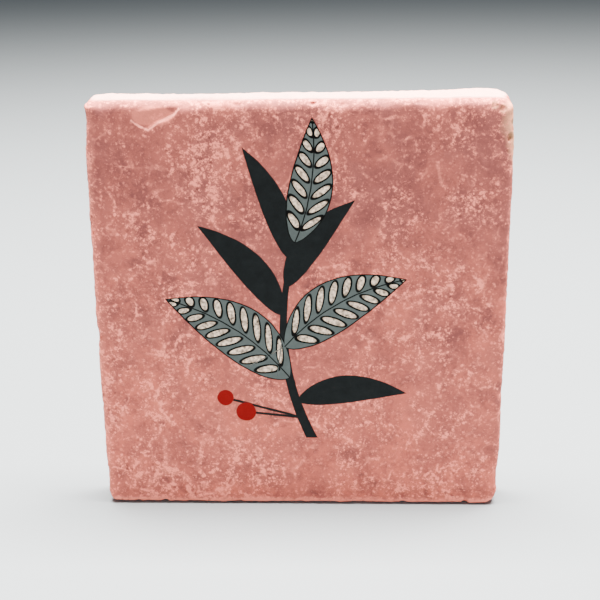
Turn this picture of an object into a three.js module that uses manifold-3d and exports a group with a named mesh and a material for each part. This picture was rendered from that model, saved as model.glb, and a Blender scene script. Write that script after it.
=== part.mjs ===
// A ceramic wall tile with tumbled, chipped edges, in millimetres.
// +Z is up and the decorated face looks along -Y. The origin is the centre of the flat back, which is bonded
// to a wall.
import * as THREE from "three";
import { mergeVertices } from "three/addons/utils/BufferGeometryUtils.js";
import Module from "manifold-3d";

// The slab, corner to corner before wear.
const WIDTH = 99.4;
const HEIGHT = 102;
const THICKNESS = 10;

// The outline's corners, anticlockwise as seen from the front. Tumbling has rounded each by its own amount.
const CORNERS = [
  { right: 1, up: 1, radius: 4.2 },
  { right: -1, up: 1, radius: 2.6 },
  { right: -1, up: -1, radius: 3.0 },
  { right: 1, up: -1, radius: 3.6 },
];
const CORNER_STEPS = 8;
const SIDE_STEP = 2.6;

// The worn front edge: how far it reaches across the face, and how far down the side.
const EDGE_ACROSS = { top: 2.2, right: 1.8, bottom: 1.0, left: 1.8 };
const EDGE_DOWN = { top: 2.1, right: 1.7, bottom: 1.0, left: 1.7 };
const EDGE_STEPS = 6;
// How round the worn edge is: 2 is a round edge, and 1 is a chamfer.
const EDGE_ROUNDNESS = { top: 1.8, right: 1.7, bottom: 1.7, left: 1.7 };
const BACK_EDGE = 1.3;
const BACK_EDGE_STEPS = 4;
const CORNER_HOLD = 0.8; // the edge takes at most this share of a corner's radius

// Each side leans out towards the back by this much, and by more where it stands out of the outline.
const LEAN = { top: 0.65, right: 0.3, bottom: 0, left: 0.2 };
const SIDE_STEPS = 3;

// The face is very slightly pillowed: at each distance in from the worn edge it lies this far below.
const PILLOW = [
  { inwards: 0, below: 0.14 },
  { inwards: 2.5, below: 0.05 },
  { inwards: 7, below: 0 },
];

// Places where the outline is worn in, or stands out where deep is negative.
const WORN_SPOTS = [
  { x: -49.7, z: 45, deep: 0.65, reach: 5.5 },
  { x: -49.7, z: 30, deep: 0.2, reach: 4 },
  { x: -49.7, z: -7, deep: 0.3, reach: 3.5 },
  { x: -49.7, z: -23, deep: 0.22, reach: 4 },
  { x: -49.7, z: -44, deep: 0.65, reach: 6 },
  { x: 50.7, z: 46, deep: 0.9, reach: 5 },
  { x: 49.7, z: 24, deep: -0.6, reach: 16 },
  { x: 49.7, z: -18, deep: 0.3, reach: 10 },
  { x: 49.7, z: -44, deep: 0.75, reach: 6 },
  { x: -22, z: 51, deep: 0.3, reach: 10 },
  { x: 44, z: 51, deep: -0.6, reach: 14 },
  { x: 20, z: 51, deep: -0.1, reach: 16 },
  { x: 4, z: -51, deep: 0.15, reach: 4 },
  { x: -38, z: -51, deep: -0.35, reach: 6 },
  { x: 22, z: -51, deep: -0.3, reach: 16 },
];

// Whole waves round the outline, which keep it from being machine-straight.
const RIPPLES = [
  { waves: 11, height: 0.05, start: 0.4 },
  { waves: 19, height: 0.05, start: 2.1 },
  { waves: 43, height: 0.04, start: 4.0 },
];
// The same for the width of the worn edge, as a share of it.
const EDGE_RIPPLES = [
  { waves: 9, height: 0.1, start: 1.2 },
  { waves: 23, height: 0.13, start: 3.3 },
  { waves: 41, height: 0.12, start: 0.7 },
];

// The flake lost below the top edge: the outline of its floor, which is deepest at its lower middle and
// rises towards the left and the top, where it feathers out. Its wall is a bevel.
const FLAKE_FLOOR = [
  [-38.0, 46.3],
  [-36.5, 45.0],
  [-34.6, 44.3],
  [-32.5, 45.8],
  [-30.3, 46.4],
  [-28.3, 47.7],
  [-27.6, 48.9],
  [-31.0, 49.3],
  [-35.5, 49.1],
  [-37.2, 48.0],
];
const FLAKE_STEPS = 36;
const FLAKE_DEEPEST = { x: -33, z: 44.5, below: 0.5 };
const FLAKE_RISE = { left: 0.055, up: 0.05 };
const FLAKE_WALL = { wide: 0.55, tall: 0.5 };
const FLAKE_TALL = 3;

// Single pits and losses at the front edge, each an ellipsoid cut out of the slab, with its centre a little
// behind the face.
const PITS = [
  { x: 48.2, z: 41.6, across: 1.1, tall: 2.4, behind: 0.57, deep: 0.9 },
  { x: 49.0, z: 44.6, across: 0.8, tall: 1.3, behind: 0.57, deep: 0.8 },
  { x: 44.6, z: 49.0, across: 1.8, tall: 1.5, behind: 0.15, deep: 0.45 },
  { x: 46.5, z: 48.2, across: 1.8, tall: 1.7, behind: 0.2, deep: 0.5 },
  { x: 3.4, z: 49.6, across: 1.7, tall: 0.9, behind: 0.57, deep: 0.6 },
  { x: 6.6, z: 48.7, across: 1.3, tall: 0.8, behind: 0.57, deep: 0.6 },
  { x: 10.2, z: 49.3, across: 1.2, tall: 0.9, behind: 0.57, deep: 0.6 },
  { x: -49.3, z: -44.6, across: 0.8, tall: 1.6, behind: 0.57, deep: 0.8 },
  { x: -49.3, z: -40.1, across: 0.7, tall: 1.2, behind: 0.57, deep: 0.7 },
  { x: -34.7, z: -50.9, across: 2.0, tall: 0.9, behind: 0.57, deep: 0.9 },
  { x: 48.9, z: 0.8, across: 0.7, tall: 1.6, behind: 0.57, deep: 0.7 },
];

// Smaller nibbles all round the front edge. The golden ratio spreads them, so that none line up.
const NIBBLES = 22;
const NIBBLE_LONG = { least: 1.1, more: 1.9 };
const NIBBLE_DEEP = { least: 0.45, more: 0.4 };
const NIBBLE_BEHIND = 0.43;
const GOLDEN = 0.618034;

const wasm = await Module();
wasm.setup();

// A value that is given for each side, at a place on the outline that faces along normal.
function bySide(values, normal) {
  const sideways = normal.x > 0 ? values.right : values.left;
  const upright = normal.y > 0 ? values.top : values.bottom;
  return sideways * normal.x ** 2 + upright * normal.y ** 2;
}

function ripple(ripples, turn) {
  return ripples.reduce(
    (sum, r) => sum + r.height * Math.sin(2 * Math.PI * r.waves * turn + r.start),
    0,
  );
}

function wornIn(point) {
  return WORN_SPOTS.reduce((sum, s) => {
    const away = Math.hypot(point.x - s.x, point.y - s.z) / s.reach;
    return sum + s.deep * Math.exp(-away * away);
  }, 0);
}

// The unworn outline as places with an outward normal and, on a corner, the share of its radius to keep.
function outlinePlaces() {
  const places = [];
  CORNERS.forEach((corner, i) => {
    const next = CORNERS[(i + 1) % CORNERS.length];
    const centreOf = (c) =>
      new THREE.Vector2(c.right * (WIDTH / 2 - c.radius), c.up * (HEIGHT / 2 - c.radius));
    const centre = centreOf(corner);
    for (let k = 0; k <= CORNER_STEPS; k++) {
      const angle = ((i + k / CORNER_STEPS) * Math.PI) / 2;
      const normal = new THREE.Vector2(Math.cos(angle), Math.sin(angle));
      const point = centre.clone().addScaledVector(normal, corner.radius);
      places.push({ point, normal, hold: corner.radius * CORNER_HOLD });
    }
    const { point: from, normal } = places[places.length - 1];
    const to = centreOf(next).addScaledVector(normal, next.radius);
    const steps = Math.round(from.distanceTo(to) / SIDE_STEP);
    for (let k = 1; k < steps; k++) {
      places.push({ point: from.clone().lerp(to, k / steps), normal, hold: Infinity });
    }
  });
  return places;
}

// The worn outline: the same places, moved in along their normals.
function wornOutline() {
  const places = outlinePlaces();
  return places.map((place, i) => {
    const turn = i / places.length;
    const inwards = wornIn(place.point) + ripple(RIPPLES, turn) * (1 - place.normal.y ** 8);
    const point = place.point.clone().addScaledVector(place.normal, -inwards);
    return { ...place, turn, point, proud: Math.max(0, -inwards) };
  });
}

// The slab's section at one place, from the face to the back: how far in from the outline, how far behind
// the face, and how far the whole ring is drawn in towards the middle of the slab.
function sectionAt(place) {
  const uneven = 1 + ripple(EDGE_RIPPLES, place.turn);
  const lean = bySide(LEAN, place.normal) + place.proud;
  const across = Math.min(bySide(EDGE_ACROSS, place.normal) * uneven, place.hold - lean);
  const down = bySide(EDGE_DOWN, place.normal) * uneven;
  const back = Math.min(BACK_EDGE, place.hold);
  const power = 2 / bySide(EDGE_ROUNDNESS, place.normal);
  const deepest = PILLOW[0].below;
  const section = [];
  for (const { inwards, below } of [...PILLOW].reverse()) {
    section.push({ inset: across + lean, behind: below, inwards });
  }
  for (let k = 1; k <= EDGE_STEPS; k++) {
    const angle = (k / EDGE_STEPS) * (Math.PI / 2);
    section.push({
      inset: across * (1 - Math.sin(angle) ** power) + lean,
      behind: deepest + (down - deepest) * (1 - Math.cos(angle) ** power),
      inwards: 0,
    });
  }
  for (let k = 1; k <= SIDE_STEPS; k++) {
    const share = k / SIDE_STEPS;
    section.push({
      inset: lean * (1 - share),
      behind: down + (THICKNESS - back - down) * share,
      inwards: 0,
    });
  }
  for (let k = 1; k <= BACK_EDGE_STEPS; k++) {
    const angle = (k / BACK_EDGE_STEPS) * (Math.PI / 2);
    section.push({
      inset: back * (1 - Math.cos(angle)),
      behind: THICKNESS - back * (1 - Math.sin(angle)),
      inwards: 0,
    });
  }
  return section;
}

// The slab as rings of points from the middle of the face round to the middle of the back.
function slabGeometry() {
  const places = wornOutline();
  const sections = places.map(sectionAt);
  const rings = sections[0].length;
  const count = places.length;
  const positions = [];
  for (let r = 0; r < rings; r++) {
    places.forEach(({ point, normal }, i) => {
      const { inset, behind, inwards } = sections[i][r];
      const x = (point.x - normal.x * inset) * (1 - inwards / (WIDTH / 2));
      const z = (point.y - normal.y * inset) * (1 - inwards / (HEIGHT / 2));
      positions.push(x, behind - THICKNESS, z);
    });
  }
  const index = [];
  for (let r = 0; r + 1 < rings; r++) {
    for (let i = 0; i < count; i++) {
      const next = (i + 1) % count;
      const [a, b] = [r * count + i, (r + 1) * count + i];
      const [c, d] = [(r + 1) * count + next, r * count + next];
      index.push(a, b, c, a, c, d);
    }
  }
  const flat = (ring) =>
    places.map((_, i) => {
      const at = 3 * (ring * count + i);
      return new THREE.Vector2(positions[at], positions[at + 2]);
    });
  for (const [a, b, c] of THREE.ShapeUtils.triangulateShape(flat(0), [])) {
    index.push(a, b, c);
  }
  const last = (rings - 1) * count;
  for (const [a, b, c] of THREE.ShapeUtils.triangulateShape(flat(rings - 1), [])) {
    index.push(last + a, last + c, last + b);
  }
  return new THREE.BufferGeometry()
    .setAttribute("position", new THREE.Float32BufferAttribute(positions, 3))
    .setIndex(index);
}

// The flake as a bevelled block that stands out of the face. Its underside is the scar's tilted floor.
function flakeGeometry() {
  const outline = FLAKE_FLOOR.map(([x, z]) => new THREE.Vector2(x, z));
  const points = new THREE.SplineCurve([...outline, outline[0]]).getPoints(FLAKE_STEPS).slice(1);
  points.forEach((p) => p.sub(new THREE.Vector2(FLAKE_DEEPEST.x, FLAKE_DEEPEST.z)));
  return new THREE.ExtrudeGeometry(new THREE.Shape(points), {
    depth: FLAKE_TALL,
    bevelSize: FLAKE_WALL.wide,
    bevelThickness: FLAKE_WALL.tall,
    bevelSegments: 1,
  })
    .translate(0, 0, FLAKE_WALL.tall)
    .rotateX(Math.PI / 2)
    .rotateX(Math.atan(FLAKE_RISE.up))
    .rotateZ(Math.atan(FLAKE_RISE.left))
    .translate(FLAKE_DEEPEST.x, FLAKE_DEEPEST.below - THICKNESS, FLAKE_DEEPEST.z);
}

function pitGeometry({ x, z, across, tall, behind, deep }) {
  return new THREE.IcosahedronGeometry(1, 2)
    .scale(across / 2, deep, tall / 2)
    .translate(x, behind - THICKNESS, z);
}

function nibbleGeometry(i, outline) {
  const place = outline[Math.floor(((i * GOLDEN) % 1) * outline.length)];
  const share = (i * GOLDEN * GOLDEN) % 1;
  const long = NIBBLE_LONG.least + NIBBLE_LONG.more * share;
  const deep = NIBBLE_DEEP.least + NIBBLE_DEEP.more * ((share * 3) % 1);
  const inset = bySide(LEAN, place.normal) + bySide(EDGE_ACROSS, place.normal) / 4;
  const centre = place.point.clone().addScaledVector(place.normal, -inset);
  return new THREE.IcosahedronGeometry(1, 1)
    .scale(deep, deep * 1.3, long / 2)
    .rotateY(-place.normal.angle())
    .translate(centre.x, NIBBLE_BEHIND - THICKNESS, centre.y);
}

function solidOf(geometry) {
  const bare = geometry.index ? geometry.toNonIndexed() : geometry.clone();
  bare.deleteAttribute("normal");
  bare.deleteAttribute("uv");
  const merged = mergeVertices(bare, 1e-4);
  return new wasm.Manifold(
    new wasm.Mesh({
      numProp: 3,
      vertProperties: new Float32Array(merged.attributes.position.array),
      triVerts: new Uint32Array(merged.index.array),
    }),
  );
}

function geometryOf(solid) {
  const mesh = solid.getMesh();
  const geometry = new THREE.BufferGeometry()
    .setAttribute("position", new THREE.Float32BufferAttribute(mesh.vertProperties, 3))
    .setIndex(new THREE.Uint32BufferAttribute(mesh.triVerts, 1));
  geometry.computeVertexNormals();
  return geometry;
}

function tileGeometry() {
  const outline = wornOutline();
  let tile = solidOf(slabGeometry()).subtract(solidOf(flakeGeometry()));
  for (const pit of PITS) {
    tile = tile.subtract(solidOf(pitGeometry(pit)));
  }
  for (let i = 0; i < NIBBLES; i++) {
    tile = tile.subtract(solidOf(nibbleGeometry(i, outline)));
  }
  return geometryOf(tile);
}

const tile = new THREE.Mesh(
  tileGeometry(),
  new THREE.MeshStandardMaterial({ color: 0xc98a80, roughness: 0.62, metalness: 0 }),
);
tile.name = "tile";

const part = new THREE.Group();
part.add(tile);

export default part;
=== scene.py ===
import functools
import math
import operator

import bpy
from mathutils import Vector, Matrix


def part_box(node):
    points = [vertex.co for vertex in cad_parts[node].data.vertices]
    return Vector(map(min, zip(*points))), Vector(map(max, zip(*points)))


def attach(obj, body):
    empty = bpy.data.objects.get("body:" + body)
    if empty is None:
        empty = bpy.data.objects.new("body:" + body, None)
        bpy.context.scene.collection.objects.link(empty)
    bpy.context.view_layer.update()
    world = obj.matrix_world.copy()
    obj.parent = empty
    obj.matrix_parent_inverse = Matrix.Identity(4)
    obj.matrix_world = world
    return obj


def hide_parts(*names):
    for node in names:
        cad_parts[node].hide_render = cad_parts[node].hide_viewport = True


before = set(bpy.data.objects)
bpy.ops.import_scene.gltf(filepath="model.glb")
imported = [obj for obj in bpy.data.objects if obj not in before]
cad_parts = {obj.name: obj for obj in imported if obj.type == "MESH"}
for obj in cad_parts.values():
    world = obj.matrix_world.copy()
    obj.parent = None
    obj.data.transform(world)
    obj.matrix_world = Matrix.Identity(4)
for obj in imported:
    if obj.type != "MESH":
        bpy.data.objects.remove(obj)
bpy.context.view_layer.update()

bl_info = {
    "name": "Tumbled ceramic tile",
    "version": (1, 0, 0),
    "blender": (4, 5, 0),
    "location": "3D View > Sidebar > Tile",
    "description": "Dresses the tile's frame: its worn surface, its mottled body and its painted sprig",
    "category": "Object",
}

MM = 0.001
TILE_LOW, TILE_HIGH = (Vector(corner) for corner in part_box("tile"))
THICKNESS = (TILE_HIGH.y - TILE_LOW.y) / MM
HALF_WIDTH = (TILE_HIGH.x - TILE_LOW.x) / 2 / MM
HALF_HEIGHT = (TILE_HIGH.z - TILE_LOW.z) / 2 / MM
MIDDLE_X = (TILE_HIGH.x + TILE_LOW.x) / 2 / MM
MIDDLE_Z = (TILE_HIGH.z + TILE_LOW.z) / 2 / MM


# The sizes and colours that a user would change

def colour(name, description, default):
    return bpy.props.FloatVectorProperty(
        name=name, description=description, subtype="COLOR", size=3, min=0, max=1, default=default,
    )


def length(name, description, default_mm):
    return bpy.props.FloatProperty(
        name=name, description=description, unit="LENGTH", precision=5, default=default_mm * MM,
    )


class TileSurface(bpy.types.PropertyGroup):
    """The worn surface of the tile, as mesh."""
    voxel: length("Voxel", "Spacing of the mesh that carries the fine relief", 0.32)
    triangles: bpy.props.IntProperty(
        name="Triangles", description="Most triangles that the finished tile keeps", default=180000,
    )
    face_waves: length("Face waves", "Depth of the shallow waves all over the tile", 0.12)
    edge_lumps: length("Edge lumps", "Depth of the lumps that make the worn edges ragged", 0.5)
    edge_grain: length("Edge grain", "Depth of the crumbly grain on the worn edges", 0.28)
    fine_grain: length("Fine grain", "Depth of the fine grain all over the tile", 0.05)


class TileColours(bpy.types.PropertyGroup):
    """The colours of the tile's body, linear."""
    rose: colour("Rose", "Main colour of the body", (0.3, 0.092, 0.08))
    dusky: colour("Dusky rose", "Darker patches of the body", (0.21, 0.064, 0.058))
    # Salmon is also laid on more towards the bottom of the face, as painted light from the floor's bounce.
    salmon: colour("Salmon", "Warmer patches towards the bottom", (0.61, 0.141, 0.098))
    fleck: colour("Fleck", "Pale flecks and veins", (1.0, 0.27, 0.195))
    pore: colour("Pore", "Dark specks in the flecked places", (0.13, 0.042, 0.038))
    # The top side's colour: mostly painted light from the lamp above, a little wear; the scar's painted
    # highlight takes some of it.
    painted_top_light: colour("Dusty", "The paler body on the worn top side", (0.84, 0.54, 0.46))
    tan: colour("Tan", "The raw body where the right edge is worn through", (0.95, 0.42, 0.24))
    brown: colour("Brown", "The lining of the pits in that place", (0.26, 0.15, 0.08))
    back: colour("Back", "The raw back of the tile", (0.4, 0.2, 0.165))


class PictureInks(bpy.types.PropertyGroup):
    """The colours of the painted sprig, linear."""
    charcoal: colour("Charcoal", "Stem, plain leaves and outlines", (0.0076, 0.0096, 0.01))
    sage: colour("Grey-green", "Ground of the patterned leaves", (0.079, 0.098, 0.095))
    cream: colour("Cream", "Ovals in the patterned leaves", (0.6, 0.466, 0.351))
    black: colour("Black", "Lines round the ovals", (0.0012, 0.0012, 0.001))
    red: colour("Red", "Berries", (0.2, 0.0035, 0.0045))


class StageLook(bpy.types.PropertyGroup):
    """Floor, light and camera."""
    floor: colour("Floor", "Colour of the floor", (0.21, 0.255, 0.275))
    surround: colour("Surround", "Colour of the soft light from all round", (0.5, 0.55, 0.6))
    lamp: colour("Lamp", "Colour of the lights", (1.0, 0.87, 0.81))
    surround_strength: bpy.props.FloatProperty(
        name="Surround strength", description="Strength of the soft light from all round", default=0.3,
    )
    top_power: bpy.props.FloatProperty(
        name="Top light", description="Power of the light above the tile", unit="POWER", default=110,
    )
    front_power: bpy.props.FloatProperty(
        name="Front light", description="Power of the light in front of the tile", unit="POWER", default=5,
    )
    lens: bpy.props.FloatProperty(
        name="Lens", description="Focal length of the camera, in millimetres", default=70.7,
    )
    distance: length("Distance", "From the camera to the tile's face", 281)
    pitch: bpy.props.FloatProperty(
        name="Pitch", description="How far the camera looks down", subtype="ANGLE",
        default=math.radians(18),
    )
    yaw: bpy.props.FloatProperty(
        name="Yaw", description="How far the camera stands to the right", subtype="ANGLE",
        default=math.radians(2.03),
    )
    roll: bpy.props.FloatProperty(
        name="Roll", description="How far the camera is turned about its own axis", subtype="ANGLE",
        default=math.radians(-0.65),
    )


# Shader maths, written as expressions

class Signal:
    """A socket of a material's node tree. Arithmetic on it adds Math nodes."""

    def __init__(self, recipe, socket):
        self.recipe = recipe
        self.socket = socket

    def maths(self, operation, *values, clamp=False):
        settings = {"operation": operation, "use_clamp": clamp}
        return self.recipe.node("ShaderNodeMath", settings, dict(enumerate(values)))

    def __add__(self, other):
        return self.maths("ADD", self, other)

    __radd__ = __add__

    def __sub__(self, other):
        return self.maths("SUBTRACT", self, other)

    def __rsub__(self, other):
        return self.maths("SUBTRACT", other, self)

    def __mul__(self, other):
        return self.maths("MULTIPLY", self, other)

    __rmul__ = __mul__

    def __truediv__(self, other):
        return self.maths("DIVIDE", self, other)

    def __pow__(self, power):
        return self.maths("POWER", self, power)

    def __abs__(self):
        return self.maths("ABSOLUTE", self)

    def clamped(self):
        return self.maths("ADD", self, 0, clamp=True)

    def at_least(self, other):
        return self.maths("MAXIMUM", self, other)

    def at_most(self, other):
        return self.maths("MINIMUM", self, other)

    def wrapped(self, size):
        """The value folded into -size/2 to size/2."""
        return self.maths("WRAP", self, -size / 2, size / 2)

    def ramp(self, start, end):
        """0 at start, 1 at end, and a straight slope between. start may be the larger of the two."""
        return ((self - start) / (end - start)).clamped()

    def rise(self, start, end):
        """0 below start, 1 above end, and a smooth step between. start may be the larger of the two."""
        low, high, first, last = (start, end, 0, 1) if start < end else (end, start, 1, 0)
        settings = {"interpolation_type": "SMOOTHSTEP"}
        inputs = {"Value": self, "From Min": low, "From Max": high, "To Min": first, "To Max": last}
        return self.recipe.node("ShaderNodeMapRange", settings, inputs)


def highest(signals):
    """The largest of several signals, from place to place."""
    return functools.reduce(Signal.at_least, signals)


def lowest(signals):
    """The smallest of several signals, from place to place."""
    return functools.reduce(Signal.at_most, signals)


# The colour sockets of a Mix node
MIX_BELOW = 6
MIX_ABOVE = 7
MIX_RESULT = 2


class Recipe:
    """A material under construction."""

    def __init__(self, name):
        self.material = bpy.data.materials.new(name)
        self.material.use_nodes = True
        self.tree = self.material.node_tree
        self.tree.nodes.clear()

    def node(self, kind, settings=None, inputs=None, output=0):
        """Adds any node: its settings first, then the value or link of each input."""
        made = self.tree.nodes.new(kind)
        for name, value in (settings or {}).items():
            setattr(made, name, value)
        for name, value in (inputs or {}).items():
            if isinstance(value, Signal):
                self.tree.links.new(value.socket, made.inputs[name])
            else:
                made.inputs[name].default_value = value
        return Signal(self, made.outputs[output])

    def position(self):
        """The place on the object, in millimetres."""
        place = self.node("ShaderNodeTexCoord", output="Object")
        return self.node("ShaderNodeVectorMath", {"operation": "SCALE"}, {0: place, "Scale": 1 / MM})

    def parts(self, vector):
        split = self.node("ShaderNodeSeparateXYZ", inputs={"Vector": vector})
        return [Signal(self, output) for output in split.socket.node.outputs]

    def vector(self, x, y, z):
        return self.node("ShaderNodeCombineXYZ", inputs={"X": x, "Y": y, "Z": z})

    def noise(self, place, size, detail=2.0, roughness=0.5, output="Fac"):
        """Soft noise whose blobs are about size millimetres across."""
        settings = {"noise_dimensions": "3D"}
        inputs = {"Vector": place, "Scale": 1 / size, "Detail": detail, "Roughness": roughness}
        return self.node("ShaderNodeTexNoise", settings, inputs, output)

    def moved(self, place, offset):
        """The place shifted by an offset in millimetres, so that two patterns don't follow each other."""
        return self.node("ShaderNodeVectorMath", {"operation": "ADD"}, {0: place, 1: offset})

    def stirred(self, place, size, amount, offset=(0, 0, 0)):
        """The place shifted this way and that by up to amount millimetres."""
        swirl = self.noise(self.moved(place, offset), size, output="Color")
        centred = self.moved(swirl, (-0.5, -0.5, -0.5))
        shift = self.node("ShaderNodeVectorMath", {"operation": "SCALE"}, {0: centred, "Scale": 2 * amount})
        return self.moved(place, shift)

    def mix(self, below, above, amount):
        """The colour above laid over the colour below, where amount is 1."""
        settings = {"data_type": "RGBA", "clamp_factor": True}
        mixer = self.node("ShaderNodeMix", settings, {0: amount}).socket.node
        for index, value in ((MIX_BELOW, below), (MIX_ABOVE, above)):
            if isinstance(value, Signal):
                self.tree.links.new(value.socket, mixer.inputs[index])
            else:
                mixer.inputs[index].default_value = (*value, 1)
        return Signal(self, mixer.outputs[MIX_RESULT])

    def shade(self, colour, factor):
        """The colour made lighter or darker by factor."""
        return self.node("ShaderNodeVectorMath", {"operation": "SCALE"}, {0: colour, "Scale": factor})

    def finish(self, inputs, heights):
        """Ends the tree with a Bump node for each height in turn."""
        normal = None
        for height, depth in heights:
            sockets = {"Height": height, "Distance": depth * MM, "Strength": 1.0}
            if normal:
                sockets["Normal"] = normal
            normal = self.node("ShaderNodeBump", inputs=sockets)
        return self.end_in({**inputs, "Normal": normal})

    def end_in(self, inputs):
        """Ends the tree in one Principled shader."""
        shader = self.node("ShaderNodeBsdfPrincipled", inputs=inputs)
        end = self.tree.nodes.new("ShaderNodeOutputMaterial")
        self.tree.links.new(shader.socket, end.inputs["Surface"])
        return self.material


# The body of the tile, in millimetres

# Sizes of the patterns in the body
DRIFT = 18
SHADOW = 8
ZONE = 13
PEBBLE = 6
CLUMP = 2.6
SQUIGGLE = 2.2
GRIT = 0.8
GRAIN = 0.35
# Spacing and largest radius of the pale specks and of the dark pores
SPECKS = (1.0, 0.46)
PORES = (1.7, 0.5)
# Heights between which the body gets warmer and lighter towards the bottom, as painted light from the
# floor's bounce, duskier towards the top, as painted shade, and stronger in its flecks
BOUNCE_LIT_BELOW = (50, -45)
SHADED_ABOVE = (-50, 45)
STRONGER_FLECKS = (15, -35)
# How far behind the face its picture and flecks end, and the marks of its edges
FACE_END = (2.5, 1.5)
EDGE_MARKS_END = (5, 2)
# Depths of the relief that is too fine for the mesh
GRAIN_DEPTH = 0.03
GRIT_DEPTH = 0.1
# Pale veins, each with its half width and its bends on the face
VEINS = [
    (0.9, [(-38.2, -45.6), (-35.6, -42.5), (-32.3, -41.9), (-29.9, -43.3), (-28.2, -45.2)]),
    (0.6, [(-29.0, -46.4), (-27.7, -49.3), (-23.0, -48.3), (-18.0, -46.3), (-16.5, -43.6)]),
    (0.6, [(-34.2, -33.2), (-33.9, -37.5), (-34.4, -40.9)]),
    (0.6, [(-23.7, -32.4), (-25.1, -36.7), (-26.0, -41.3), (-24.6, -43.6)]),
    (0.3, [(-8.3, 30.3), (0.5, 29.8)]),
    (0.3, [(-33.8, 29.0), (-32.2, 27.4), (-26.7, 26.5)]),
    (0.5, [(32.1, 36.0), (32.5, 31.9), (33.9, 30.2)]),
    (0.2, [(16.0, -33.5), (14.2, -37.5)]),
    (0.25, [(26.0, -31.2), (26.9, -32.8), (25.6, -36.1)]),
    (0.4, [(30.3, -43.7), (32.1, -41.9), (33.9, -44.1)]),
]
# The painted highlight along the edge of the flake's scar, where its step faces the lamp above, and the
# middle and reach of its floor
SCAR_HIGHLIGHT = [
    (-38.1, 45.9), (-36.2, 44.6), (-34.3, 43.8), (-32.3, 45.1), (-30.4, 46.3), (-28.4, 47.1), (-27.1, 48.6),
]
SCAR_FLOOR = (-33.2, 46.9)
SCAR_REACH = (5.4, 2.6)
# Where the right edge is worn through: the height of its middle, how far across it starts and is full,
# and how fast it narrows above and below
WORN_HEIGHT = 45.5
WORN_ACROSS = (45.2, 48)
WORN_NARROWING = 0.28
# The brown pits there: place, radius and how pale the middle is, a painted light over the shade in the
# hollow, and their width over their height
BROWN_PITS = [(44.6, 49.0, 0.8, 0.4), (46.5, 48.2, 0.9, 0.4), (49, 45.2, 0.6, 0), (48.6, 42, 0.75, 0)]
PIT_WIDTH = 0.8
# Where pale flecks crowd on the face, or are few: place, reach and how much
CROWDED = [
    (-20.5, 38.5, 9, 0.6), (-20.7, 27, 7, 0.5), (5, 32, 8, 0.5), (39, 27, 9, 0.5), (-37, 19.5, 8, 0.4),
    (-30, 4, 8, 0.4), (49, -8, 7, 0.5), (5, -4, 8, 0.3), (-49, -23, 8, 0.5), (6.4, 49, 4.5, 1.2),
    (-36.5, 36, 9, -0.7), (-46.5, 40, 6, -0.5), (22.5, -38, 8, -0.6), (31, -38, 7, -0.6),
    (-25.5, -29.5, 7, -0.6),
]
# The rubbed rim along the left, right, bottom and top side: how far in it reaches and how pale it is; the
# paleness is wear, and at the bottom mostly painted light from the floor's bounce
RUBBED_AND_LIT_RIMS = [(3.4, 0.22), (2.2, 0.32), (2.6, 1.0), (3.2, 0.1)]
# How far back from the face the worn front edge of the top side reaches
ARRIS = 2.6


def distance(recipe, across, up):
    """The length of a line that runs across and up by so much."""
    line = recipe.vector(across, up, 0)
    return recipe.node("ShaderNodeVectorMath", {"operation": "LENGTH"}, {0: line}, "Value")


def from_line(recipe, x, z, bends):
    """Distance from a line of straight runs between its bends."""
    distances = []
    for start, end in zip(bends, bends[1:]):
        run = Vector(end) - Vector(start)
        reach = run.length
        run = run / reach
        along = (x - start[0]) * run.x + (z - start[1]) * run.y - reach / 2
        past = (abs(along) - reach / 2).at_least(0)
        aside = (x - start[0]) * -run.y + (z - start[1]) * run.x
        distances.append(distance(recipe, past, aside))
    return lowest(distances)


def squiggles(recipe, place, size, offset):
    """Short crooked pale lines, size millimetres apart."""
    threads = recipe.noise(recipe.stirred(place, size, size * 0.35, offset), size)
    line = (1 - abs(threads - 0.5) * 2).rise(0.88, 0.98)
    broken = recipe.noise(recipe.moved(place, offset), size * 0.7, 3.0, 0.7).rise(0.48, 0.62)
    return line * broken


def pebbles(recipe, place, size):
    """Cells size millimetres across: how far in from a cell's edge, and a random value for each cell."""
    crooked = recipe.stirred(recipe.stirred(place, size * 0.8, size * 0.4), size * 0.2, size * 0.06)
    inputs = {"Vector": crooked, "Scale": 1 / size, "Randomness": 1.0}
    edge = recipe.node("ShaderNodeTexVoronoi", {"feature": "DISTANCE_TO_EDGE"}, inputs, "Distance")
    cell = recipe.node("ShaderNodeTexVoronoi", {"feature": "F1"}, inputs, "Color")
    return edge * size, recipe.parts(cell)[0]


def dots(recipe, place, spacing, radius):
    """Round dots of uneven sizes, of up to radius millimetres."""
    inputs = {"Vector": place, "Scale": 1 / spacing, "Randomness": 1.0}
    away = recipe.node("ShaderNodeTexVoronoi", {"feature": "F1"}, inputs, "Distance")
    chance = Signal(recipe, away.socket.node.outputs["Color"])
    size = recipe.parts(chance)[0] * radius
    return ((size - away * spacing) * (4 / radius)).clamped()


def vein_strength(recipe, place):
    """The single pale veins of the face."""
    x, _, z = recipe.parts(recipe.stirred(place, 1.6, 0.7, (4, 4, 60)))
    strength = highest(
        from_line(recipe, x, z, bends).rise(half * 1.25, half * 0.5) for half, bends in VEINS
    )
    patchy = recipe.noise(recipe.moved(place, (12, 9, 3)), 1.6, 3.0, 0.7).rise(0.36, 0.56)
    return strength * (0.3 + patchy * 0.7)


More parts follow.
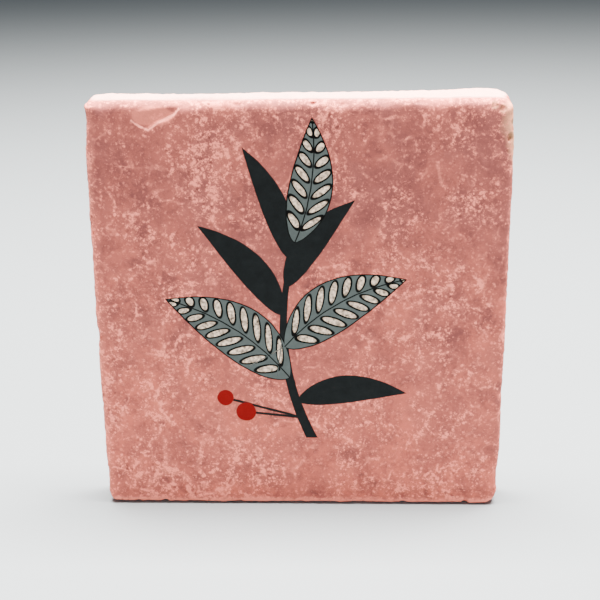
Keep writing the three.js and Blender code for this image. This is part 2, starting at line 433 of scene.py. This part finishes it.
def rubbed_and_lit_rims(x, z, ragged):
    """How much the worn sides are rubbed, 1 on the outline, and how much paler they are painted: wear, and
    at the bottom painted light from the floor's bounce.
    """
    across = x - MIDDLE_X
    up = z - MIDDLE_Z
    inwards = (HALF_WIDTH + across, HALF_WIDTH - across, HALF_HEIGHT + up, HALF_HEIGHT - up)
    rubbed = [(side + ragged).rise(reach, reach * 0.2) for side, (reach, _) in zip(inwards, RUBBED_AND_LIT_RIMS)]
    # Painted light at the bottom rim, wear at the others.
    pale_and_lit = [here * paler_and_lit for here, (_, paler_and_lit) in zip(rubbed, RUBBED_AND_LIT_RIMS)]
    return highest(rubbed), highest(pale_and_lit)


def crowding(recipe, x, z):
    """How much more or fewer flecks the face has in some places."""
    return functools.reduce(operator.add, (
        distance(recipe, x - spot_x, z - spot_z).rise(reach, reach * 0.2) * amount
        for spot_x, spot_z, reach, amount in CROWDED
    ))


def ground_colour(recipe, place, colours, pebbled, rubbed):
    """The body under its flecks, in warm drifts, dusky shadows and pebbles, painted lighter and warmer
    towards the bottom and duskier towards the top as painted light and shade.
    """
    _, _, z = recipe.parts(place)
    drifts = recipe.noise(recipe.stirred(place, 20, 6, (31, 7, 12)), DRIFT, 4.0, 0.6)
    # Painted light: salmon is laid on more towards the bottom, for the floor's bounce.
    warm_and_bounce_lit = (drifts.rise(0.4, 0.6) * 0.4 + z.rise(*BOUNCE_LIT_BELOW) * 0.6).clamped()
    base = recipe.mix(colours.rose, colours.salmon, warm_and_bounce_lit)
    shadows = recipe.noise(recipe.stirred(place, 7, 3, (2, 14, 5)), SHADOW, 6.0, 0.85)
    dusk = shadows.ramp(0.43, 0.67) + pebbled * 0.25 - rubbed * 0.3
    # Painted shade: the body is laid duskier towards the top.
    return recipe.mix(base, colours.dusky, (dusk + z.rise(*SHADED_ABOVE) * 0.25 - 0.11).clamped())


def body_colour(recipe, place, colours, rubbed, pale_and_lit, face):
    """The mottled rose body, and the grit that also shows in its relief. rubbed is 1 on the worn edges, and
    the rims' paleness is wear and, at the bottom, painted light from the floor's bounce.
    """
    x, _, z = recipe.parts(place)
    rim, cell = pebbles(recipe, place, PEBBLE)
    inside = rim.rise(0.1, 0.9)
    base = ground_colour(recipe, place, colours, cell.rise(0.45, 0.95) * inside, rubbed)

    zones = recipe.noise(recipe.stirred(place, 14, 6, (3, 50, 9)), ZONE, 4.0, 0.65)
    crowd = zones.rise(0.42, 0.6) * (1 - inside * 0.5) + crowding(recipe, x, z) * face
    crowd = crowd.clamped().at_least(rubbed)
    clumps = recipe.noise(recipe.stirred(place, 3, 1.2, (7, 7, 30)), CLUMP, 4.0, 0.7)
    clots = (clumps + crowd * 0.12).rise(0.52, 0.8)
    broken = recipe.noise(recipe.moved(place, (8, 61, 27)), 5, 3.0, 0.6).rise(0.5, 0.65)
    veins = (rim.rise(0.5, 0.1) * broken).at_least(vein_strength(recipe, place) * face)
    fine = squiggles(recipe, place, SQUIGGLE, (20, 3, 40)) * (0.1 + crowd * 0.9)
    crooked = recipe.stirred(place, 1.2, 0.3)
    grit = recipe.noise(crooked, GRIT, 3.0, 0.75)
    grains = (grit + clots * 0.12 + crowd * 0.05 + fine * 0.1 + veins * 0.08).rise(0.55, 0.75)
    specks = dots(recipe, crooked, *SPECKS) * (0.2 + crowd * 0.5 + clots * 0.3)
    tone = clots * 0.22 + grains * (0.5 + crowd * 0.45) + specks * 1.1 + fine * 0.3 + veins * 0.3
    stronger_below = 1 + z.rise(*STRONGER_FLECKS) * 0.4
    # The rims' paleness goes in with the flecks: wear, and at the bottom painted light.
    base = recipe.mix(base, colours.fleck, (tone * stronger_below + pale_and_lit).clamped())

    pores = dots(recipe, recipe.moved(crooked, (71, 4, 33)), *PORES) * (0.1 + crowd * 0.9)
    return recipe.mix(base, colours.pore, pores * 0.7), grit


def with_scar(recipe, place, base, colours, front):
    """The base with the flake's scar in it: a fresh, paler floor, with a painted highlight along its edge
    where the step faces the lamp above.
    """
    x, _, z = recipe.parts(recipe.stirred(place, 1.5, 0.25, (14, 2, 6)))
    middle = distance(recipe, (x - SCAR_FLOOR[0]) / SCAR_REACH[0], (z - SCAR_FLOOR[1]) / SCAR_REACH[1])
    floor = middle.rise(1.0, 0.75) * front
    base = recipe.mix(base, recipe.mix(colours.salmon, colours.fleck, 0.6), floor * 0.7)
    line = from_line(recipe, x, z, SCAR_HIGHLIGHT)
    patchy = recipe.noise(recipe.moved(place, (33, 8, 2)), 1.4, 3.0, 0.7).rise(0.3, 0.6)
    # Painted highlight along the scar's edge, for the step lit from above.
    edge = (line - patchy * 0.12).rise(0.26, 0.02) * (0.45 + patchy * 0.45)
    highlight = recipe.mix(colours.fleck, colours.painted_top_light, 0.15)
    return recipe.mix(base, highlight, edge * front)


def with_wear(recipe, place, base, colours, front):
    """The base with the creamy place at the right edge's upper end, and its brown pits, the middles of two
    of them laid pale as painted light over the shade in their hollows.
    """
    x, _, z = recipe.parts(recipe.stirred(place, 2.5, 0.9, (1, 17, 8)))
    mottles = recipe.noise(recipe.stirred(place, 1.5, 0.6), 1.1, 4.0, 0.7)
    narrowed = x - abs(z - WORN_HEIGHT) * WORN_NARROWING
    here = (narrowed + mottles * 3 - 1.5).rise(*WORN_ACROSS) * front
    raw = recipe.mix(colours.tan, colours.salmon, mottles.rise(0.5, 0.66) * 0.6)
    base = recipe.mix(base, raw, here * 0.85)
    x, _, z = recipe.parts(recipe.stirred(place, 0.8, 0.15))
    for pit_x, pit_z, radius, pale_and_lit in BROWN_PITS:
        away = distance(recipe, x - pit_x, (z - pit_z) * PIT_WIDTH)
        lining = away.rise(radius * 1.2, radius * 0.7) * front
        base = recipe.mix(base, colours.brown, lining * (0.8 - pale_and_lit * 0.4))
        # Painted light: the pit's middle is laid pale over the shade in its hollow.
        base = recipe.mix(base, colours.fleck, away.rise(radius * 0.7, radius * 0.3) * pale_and_lit)
    return base


def with_painted_top_light(recipe, place, base, colours, behind_face):
    """The base with the top side laid pale, mostly as painted light from the lamp above and a little as
    wear, and a painted shade line along its front edge.
    """
    _, _, z = recipe.parts(place)
    # Painted light: the top side is laid in a pale colour for the lamp above.
    lit_top_side = z.rise(HALF_HEIGHT - 1.6, HALF_HEIGHT - 0.9) * behind_face.rise(ARRIS - 0.7, ARRIS)
    streaks = recipe.noise(place, 4, 4.0, 0.7)
    base = recipe.mix(base, colours.painted_top_light, lit_top_side * (0.55 + streaks * 0.6).clamped())
    # Painted shade: a darker line where the top side meets the worn front edge.
    shaded_seam = abs(behind_face - ARRIS).rise(0.7, 0.2) * z.rise(HALF_HEIGHT - 2.4, HALF_HEIGHT - 1.4)
    return recipe.mix(base, colours.rose, shaded_seam * 0.5)


def with_raw_back(recipe, place, base, colours, ragged):
    """The base with the raw, stained back."""
    _, y, _ = recipe.parts(place)
    behind = y.rise(-1.2, -0.3)
    stains = recipe.noise(recipe.stirred(place, 9, 4, (6, 70, 1)), 9, 5.0, 0.7)
    base = recipe.mix(base, colours.back, behind * 0.6)
    return recipe.shade(base, 1 + behind * (stains * 0.7 + ragged * 0.4 - 0.6))


def tile_material(colours, inks):
    """The body of the tile, its worn places one over the other, and the painted picture on its face."""
    recipe = Recipe("tumbled_rose_ceramic")
    place = recipe.position()
    x, y, z = recipe.parts(place)
    behind_face = y + THICKNESS
    face = behind_face.rise(*FACE_END)
    ragged = recipe.noise(recipe.moved(place, (5, 5, 5)), 1.8, 3.0, 0.6)
    front = (behind_face + ragged * 4 - 2).rise(*EDGE_MARKS_END)
    rubbed, pale_and_lit = rubbed_and_lit_rims(x, z, ragged * 3 - 1.5)
    base, grit = body_colour(recipe, place, colours, rubbed, pale_and_lit, face)
    base = with_scar(recipe, place, base, colours, front)
    base = with_wear(recipe, place, base, colours, front)
    base = with_painted_top_light(recipe, place, base, colours, behind_face)
    base = with_raw_back(recipe, place, base, colours, ragged)
    picture, painted = sprig(recipe, place, inks)
    painted = painted * face
    grain = recipe.noise(place, GRAIN, 3.0, 0.6)
    inputs = {
        "Base Color": recipe.mix(base, picture, painted),
        "Roughness": 0.62 + 0.16 * ragged - 0.08 * painted,
        "Specular IOR Level": 0.05,
    }
    return recipe.finish(inputs, [(grain, GRAIN_DEPTH), (grit, GRIT_DEPTH)])


# The painted sprig: a bowed stem, plain and patterned leaves, and two berries, in millimetres on the face

STEM_CENTRE = (62, -4)
STEM_RADIUS = 66
STEM_FROM = -33
STEM_TO = 29
STEM_HALF_WIDTH = (1.35, 0.55) # at its foot and at its tip
# Each leaf: where it starts, its direction in degrees from +X, its length, its width and its midrib's bow
PATTERNED_LEAVES = [
    (-2.6, -17.0, 146, 36, 14.0, -3.0),
    (-3.8, -9.0, 30, 34, 13.0, 3.0),
    (-1.0, 17.0, 82, 30, 10.5, -2.0),
]
PLAIN_LEAVES = [
    (-4.0, -1.0, 132, 30, 7.6, -2.2),
    (-3.4, 6.0, 52, 27, 7.0, 2.0),
    (-2.2, 13.0, 112, 29, 6.4, -1.6),
    (-1.0, -23.0, 4, 27, 7.4, 2.2),
]
# Each berry: its place and radius
BERRIES = [(-13.5, -26.0, 2.5), (-18.5, -22.3, 2.1)]
BERRY_STALK_FROM = (0.2, -27.5)
STALK_HALF_WIDTH = 0.38

INK_EDGE = 0.12 # over which an ink fades in
LEAF_SHOULDER = 0.7 # below 1 the leaf is broad near its base
OUTLINE = 0.42
# The ovals in a patterned leaf stand in one slanted row on each side of its midrib
OVAL_PITCH = 3.7
OVAL_HALF_WIDTH = 0.95
OVAL_OUTLINE = 0.55
OVAL_SHARE = 0.36 # half an oval's length, as a share of half the leaf's width
OVAL_SLANT = 0.75


def leaf(recipe, place, x0, z0, degrees, long, wide, bow):
    """How far inside a leaf, the place along its midrib, the distance from it, and the half width there."""
    turn = math.radians(degrees)
    settings = {"vector_type": "TEXTURE"}
    inputs = {"Vector": place, "Location": (x0, 0, z0), "Rotation": (0, -turn, 0)}
    along, _, across = recipe.parts(recipe.node("ShaderNodeMapping", settings, inputs))
    share = (along / long).clamped()
    off = across - share * (1 - share) * (4 * bow)
    peak = LEAF_SHOULDER / (1 + LEAF_SHOULDER)
    fullest = peak ** LEAF_SHOULDER * (1 - peak)
    half = share ** LEAF_SHOULDER * (1 - share) * (wide / 2 / fullest)
    aside = abs(off)
    return half - aside, along, aside, half


def drawn(inside):
    """Full ink where inside is above 0."""
    return (inside / INK_EDGE).clamped()


def oval(recipe, across, up, half_width, half_length):
    """1 inside an oval."""
    inside = 1 - distance(recipe, across / half_width, up / half_length)
    return (inside * (half_width / INK_EDGE)).clamped()


def plain_parts(recipe, place):
    """How far inside the stem, the plain leaves and the berries' stalks."""
    x, _, z = recipe.parts(place)
    leaves = [leaf(recipe, place, *shape)[0] for shape in PLAIN_LEAVES]
    from_centre = distance(recipe, x - STEM_CENTRE[0], z - STEM_CENTRE[1])
    up_stem = ((z - STEM_FROM) / (STEM_TO - STEM_FROM)).clamped()
    half = STEM_HALF_WIDTH[0] + (STEM_HALF_WIDTH[1] - STEM_HALF_WIDTH[0]) * up_stem
    stem = half - abs(from_centre - STEM_RADIUS)
    stem = stem.at_most(z - STEM_FROM).at_most(STEM_TO - z)
    stalks = [from_line(recipe, x, z, [BERRY_STALK_FROM, berry[:2]]) for berry in BERRIES]
    return highest([*leaves, stem, *(STALK_HALF_WIDTH - stalk for stalk in stalks)])


def nearest_leaf(recipe, place):
    """What leaf() gives for the patterned leaf that a place is in."""
    first, *others = (leaf(recipe, place, *shape) for shape in PATTERNED_LEAVES)
    ground, *measures = first
    for inside, *here in others:
        this = (inside / INK_EDGE + 1).clamped()
        ground = ground.at_least(inside)
        measures = [old + (new - old) * this for old, new in zip(measures, here)]
    return ground, *measures


def oval_rows(recipe, along, aside, breadth):
    """The black ovals in a patterned leaf, and the cream ones inside them."""
    slanted = along - aside * OVAL_SLANT
    column = slanted.wrapped(OVAL_PITCH)
    row = aside - breadth * 0.5
    reach = breadth * OVAL_SHARE
    past_base = drawn(slanted - OVAL_PITCH / 2)
    outer = oval(recipe, column, row, OVAL_HALF_WIDTH + OVAL_OUTLINE, reach + OVAL_OUTLINE)
    inner = oval(recipe, column, row, OVAL_HALF_WIDTH, reach)
    return outer * past_base, inner * past_base


def sprig(recipe, place, inks):
    """The picture's colour and where it is painted."""
    x, _, z = recipe.parts(recipe.stirred(place, 3, 0.12, (9, 2, 5)))
    on_face = recipe.vector(x, 0, z)
    plain = drawn(plain_parts(recipe, on_face))
    ground, along, aside, breadth = nearest_leaf(recipe, on_face)
    patterned = drawn(ground)
    outer, inner = oval_rows(recipe, along, aside, breadth)
    lines = drawn(OUTLINE - ground).at_least(drawn(OUTLINE / 2 - aside))

    brushed = recipe.noise(place, 0.7, 3.0, 0.6)
    cloudy = recipe.noise(recipe.moved(place, (3, 9, 41)), 2.2, 3.0, 0.6)
    sage = recipe.shade(inks.sage, 0.7 + 0.6 * cloudy)
    cream = recipe.shade(inks.cream, 4 * brushed - 1)
    charcoal = recipe.shade(inks.charcoal, 0.5 + cloudy)
    red = recipe.shade(inks.red, 0.85 + 0.3 * cloudy)
    ink = recipe.mix(sage, inks.black, outer)
    ink = recipe.mix(ink, cream, inner)
    ink = recipe.mix(ink, inks.black, lines)
    ink = recipe.mix(ink, charcoal, plain * (1 - patterned))
    painted = patterned.at_least(plain)
    for berry_x, berry_z, radius in BERRIES:
        berry = drawn(radius - distance(recipe, x - berry_x, z - berry_z))
        ink = recipe.mix(ink, red, berry)
        painted = painted.at_least(berry)
    return ink, painted


# Mesh, in millimetres

MERGE_WITHIN = 0.002
# Sizes of the lumps in the relief
WAVE = 9
LUMP = 2.8
CRUMB = 1.2
FINE_GRAIN = 0.8
LEVEL_GREY = 0.55 # the grey of a texture that leaves the surface where it is
# How far in from the outline the ragged edge is full, where it has faded out, and in how many steps
EDGE_FULL = 1.6
EDGE_FADED = 4.6
EDGE_STEPS = 10


def select_only(piece):
    bpy.ops.object.select_all(action="DESELECT")
    piece.select_set(True)
    bpy.context.view_layer.objects.active = piece


def copy_of_node(node, name):
    """The CAD solid's mesh in an object of its own, with its loose triangles merged."""
    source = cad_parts[node]
    mesh = source.data.copy()
    mesh.name = name
    mesh.materials.clear()
    piece = bpy.data.objects.new(name, mesh)
    bpy.context.scene.collection.objects.link(piece)
    select_only(piece)
    bpy.ops.object.mode_set(mode="EDIT")
    bpy.ops.mesh.select_all(action="SELECT")
    bpy.ops.mesh.remove_doubles(threshold=MERGE_WITHIN * MM)
    bpy.ops.object.mode_set(mode="OBJECT")
    return piece


def add_and_apply(piece, kind, **settings):
    """Runs one modifier over the active piece."""
    modifier = piece.modifiers.new(kind.lower(), kind)
    for name, value in settings.items():
        setattr(modifier, name, value)
    bpy.ops.object.modifier_apply(modifier=modifier.name)


def clouds(name, size, depth=2):
    """A soft texture whose lumps are size millimetres across."""
    texture = bpy.data.textures.new(name, "CLOUDS")
    texture.noise_scale = size * MM
    texture.noise_depth = depth
    texture.noise_basis = "ORIGINAL_PERLIN"
    return texture


def edge_group(piece):
    """The name of a vertex group that is full along the outline and fades out further in."""
    group = piece.vertex_groups.new(name="edge")
    bins = [[] for _ in range(EDGE_STEPS + 1)]
    for vertex in piece.data.vertices:
        across = HALF_WIDTH - abs(vertex.co.x / MM - MIDDLE_X)
        upright = HALF_HEIGHT - abs(vertex.co.z / MM - MIDDLE_Z)
        share = (EDGE_FADED - min(across, upright)) / (EDGE_FADED - EDGE_FULL)
        bins[round(max(0, min(1, share)) * EDGE_STEPS)].append(vertex.index)
    for step, indices in enumerate(bins):
        if step and indices:
            group.add(indices, step / EDGE_STEPS, "REPLACE")
    return group.name


def roughen(piece, texture, depth, group=""):
    """Pushes the piece's surface in and out by a texture."""
    add_and_apply(
        piece, "DISPLACE", texture=texture, texture_coords="LOCAL", strength=depth, mid_level=LEVEL_GREY,
        vertex_group=group,
    )


def keep_inside_frame(piece):
    """Holds every point inside the solid's box, and so the back flat."""
    for vertex in piece.data.vertices:
        for axis in range(3):
            vertex.co[axis] = max(TILE_LOW[axis], min(TILE_HIGH[axis], vertex.co[axis]))


class TILE_OT_body(bpy.types.Operator):
    """Make the tumbled tile from its solid, with its fine relief and its painted face"""
    bl_idname = "tile.body"
    bl_label = "Tumbled tile"

    def execute(self, context):
        surface = context.scene.tile_surface
        piece = copy_of_node("tile", "tumbled_tile")
        add_and_apply(piece, "REMESH", mode="VOXEL", voxel_size=surface.voxel)
        add_and_apply(piece, "SMOOTH", factor=0.5, iterations=2)
        edge = edge_group(piece)
        roughen(piece, clouds("waves", WAVE), surface.face_waves)
        roughen(piece, clouds("lumps", LUMP), surface.edge_lumps, edge)
        roughen(piece, clouds("crumbs", CRUMB, 3), surface.edge_grain, edge)
        roughen(piece, clouds("grain", FINE_GRAIN), surface.fine_grain)
        ratio = surface.triangles / (2 * len(piece.data.polygons)) # the remeshed faces have four sides
        add_and_apply(piece, "DECIMATE", ratio=min(1, ratio))
        keep_inside_frame(piece)
        select_only(piece)
        bpy.ops.object.shade_smooth()
        material = tile_material(context.scene.tile_colours, context.scene.tile_inks)
        piece.data.materials.append(material)
        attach(piece, "root")
        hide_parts("tile")
        return {"FINISHED"}


# Stage, in metres

FLOOR_SIZE = 6
# Each light: its place, the point that it looks at, and its size
TOP_LIGHT = ((0.05, 0.06, 0.75), (0.05, 0.06, 0), (0.6, 0.3))
FRONT_LIGHT = ((-0.1, -0.9, 0.45), (0, 0, 0), (0.9, 0.7))
# The point of the face that the camera looks at, in millimetres
CAMERA_TARGET = (0.06, 2.92)
SENSOR_MM = 36
CLIP_START = 0.01


def floor_material(shade):
    recipe = Recipe("pale_floor")
    return recipe.end_in({"Base Color": (*shade, 1), "Roughness": 0.55, "Specular IOR Level": 0.3})


def area_light(name, placing, power, shade):
    place, target, size = placing
    aim = (Vector(target) - Vector(place)).to_track_quat("-Z", "Y").to_euler()
    bpy.ops.object.light_add(type="AREA", location=place, rotation=aim)
    light = bpy.context.object
    light.name = name
    light.data.shape = "RECTANGLE"
    light.data.size, light.data.size_y = size
    light.data.energy = power
    light.data.color = shade


def photo_camera(look):
    """The camera that saw the tile: it looks down a little, from just right of the middle."""
    target = Vector((CAMERA_TARGET[0], -THICKNESS, CAMERA_TARGET[1])) * MM
    back = Vector((
        math.sin(look.yaw) * math.cos(look.pitch),
        -math.cos(look.yaw) * math.cos(look.pitch),
        math.sin(look.pitch),
    ))
    right = (-back).cross(Vector((0, 0, 1))).normalized()
    up = right.cross(-back)
    turned_right = right * math.cos(look.roll) + up * math.sin(look.roll)
    turned_up = up * math.cos(look.roll) - right * math.sin(look.roll)
    place = target + back * look.distance
    bpy.ops.object.camera_add()
    camera = bpy.context.object
    camera.matrix_world = Matrix([(*turned_right, 0), (*turned_up, 0), (*back, 0), (*place, 1)]).transposed()
    camera.data.sensor_width = SENSOR_MM
    camera.data.lens = look.lens
    camera.data.clip_start = CLIP_START
    bpy.context.scene.camera = camera


class TILE_OT_stage(bpy.types.Operator):
    """Set the pale floor, the soft lights and the camera"""
    bl_idname = "tile.stage"
    bl_label = "Floor, light and camera"

    def execute(self, context):
        look = context.scene.tile_stage
        bpy.ops.object.select_all(action="DESELECT")
        bpy.ops.mesh.primitive_plane_add(size=FLOOR_SIZE, location=(0, 0, TILE_LOW.z))
        floor = context.object
        floor.name = "floor"
        floor.data.materials.append(floor_material(look.floor))
        area_light("top_light", TOP_LIGHT, look.top_power, look.lamp)
        area_light("front_light", FRONT_LIGHT, look.front_power, look.lamp)
        world = bpy.data.worlds.new("surround")
        world.use_nodes = True
        sky = world.node_tree.nodes["Background"]
        sky.inputs["Color"].default_value = (*look.surround, 1)
        sky.inputs["Strength"].default_value = look.surround_strength
        context.scene.world = world
        photo_camera(look)
        return {"FINISHED"}


class TILE_PT_panel(bpy.types.Panel):
    """Lists the steps and their settings"""
    bl_label = "Tumbled tile"
    bl_idname = "TILE_PT_panel"
    bl_space_type = "VIEW_3D"
    bl_region_type = "UI"
    bl_category = "Tile"

    def draw(self, context):
        for step, settings in STEPS:
            self.layout.operator(step)
            for group in settings:
                values = getattr(context.scene, group)
                for name in values.bl_rna.properties.keys():
                    if name not in ("rna_type", "name"):
                        self.layout.prop(values, name)


STEPS = [
    ("tile.body", ["tile_surface", "tile_colours", "tile_inks"]),
    ("tile.stage", ["tile_stage"]),
]
SETTINGS = {
    "tile_surface": TileSurface,
    "tile_colours": TileColours,
    "tile_inks": PictureInks,
    "tile_stage": StageLook,
}
CLASSES = [*SETTINGS.values(), TILE_OT_body, TILE_OT_stage, TILE_PT_panel]


def register():
    for made in CLASSES:
        bpy.utils.register_class(made)
    for name, group in SETTINGS.items():
        setattr(bpy.types.Scene, name, bpy.props.PointerProperty(type=group))


def unregister():
    for name in SETTINGS:
        delattr(bpy.types.Scene, name)
    for made in reversed(CLASSES):
        bpy.utils.unregister_class(made)


def main():
    register()
    bpy.ops.tile.body()
    bpy.ops.tile.stage()


if __name__ == "__main__":
    main()
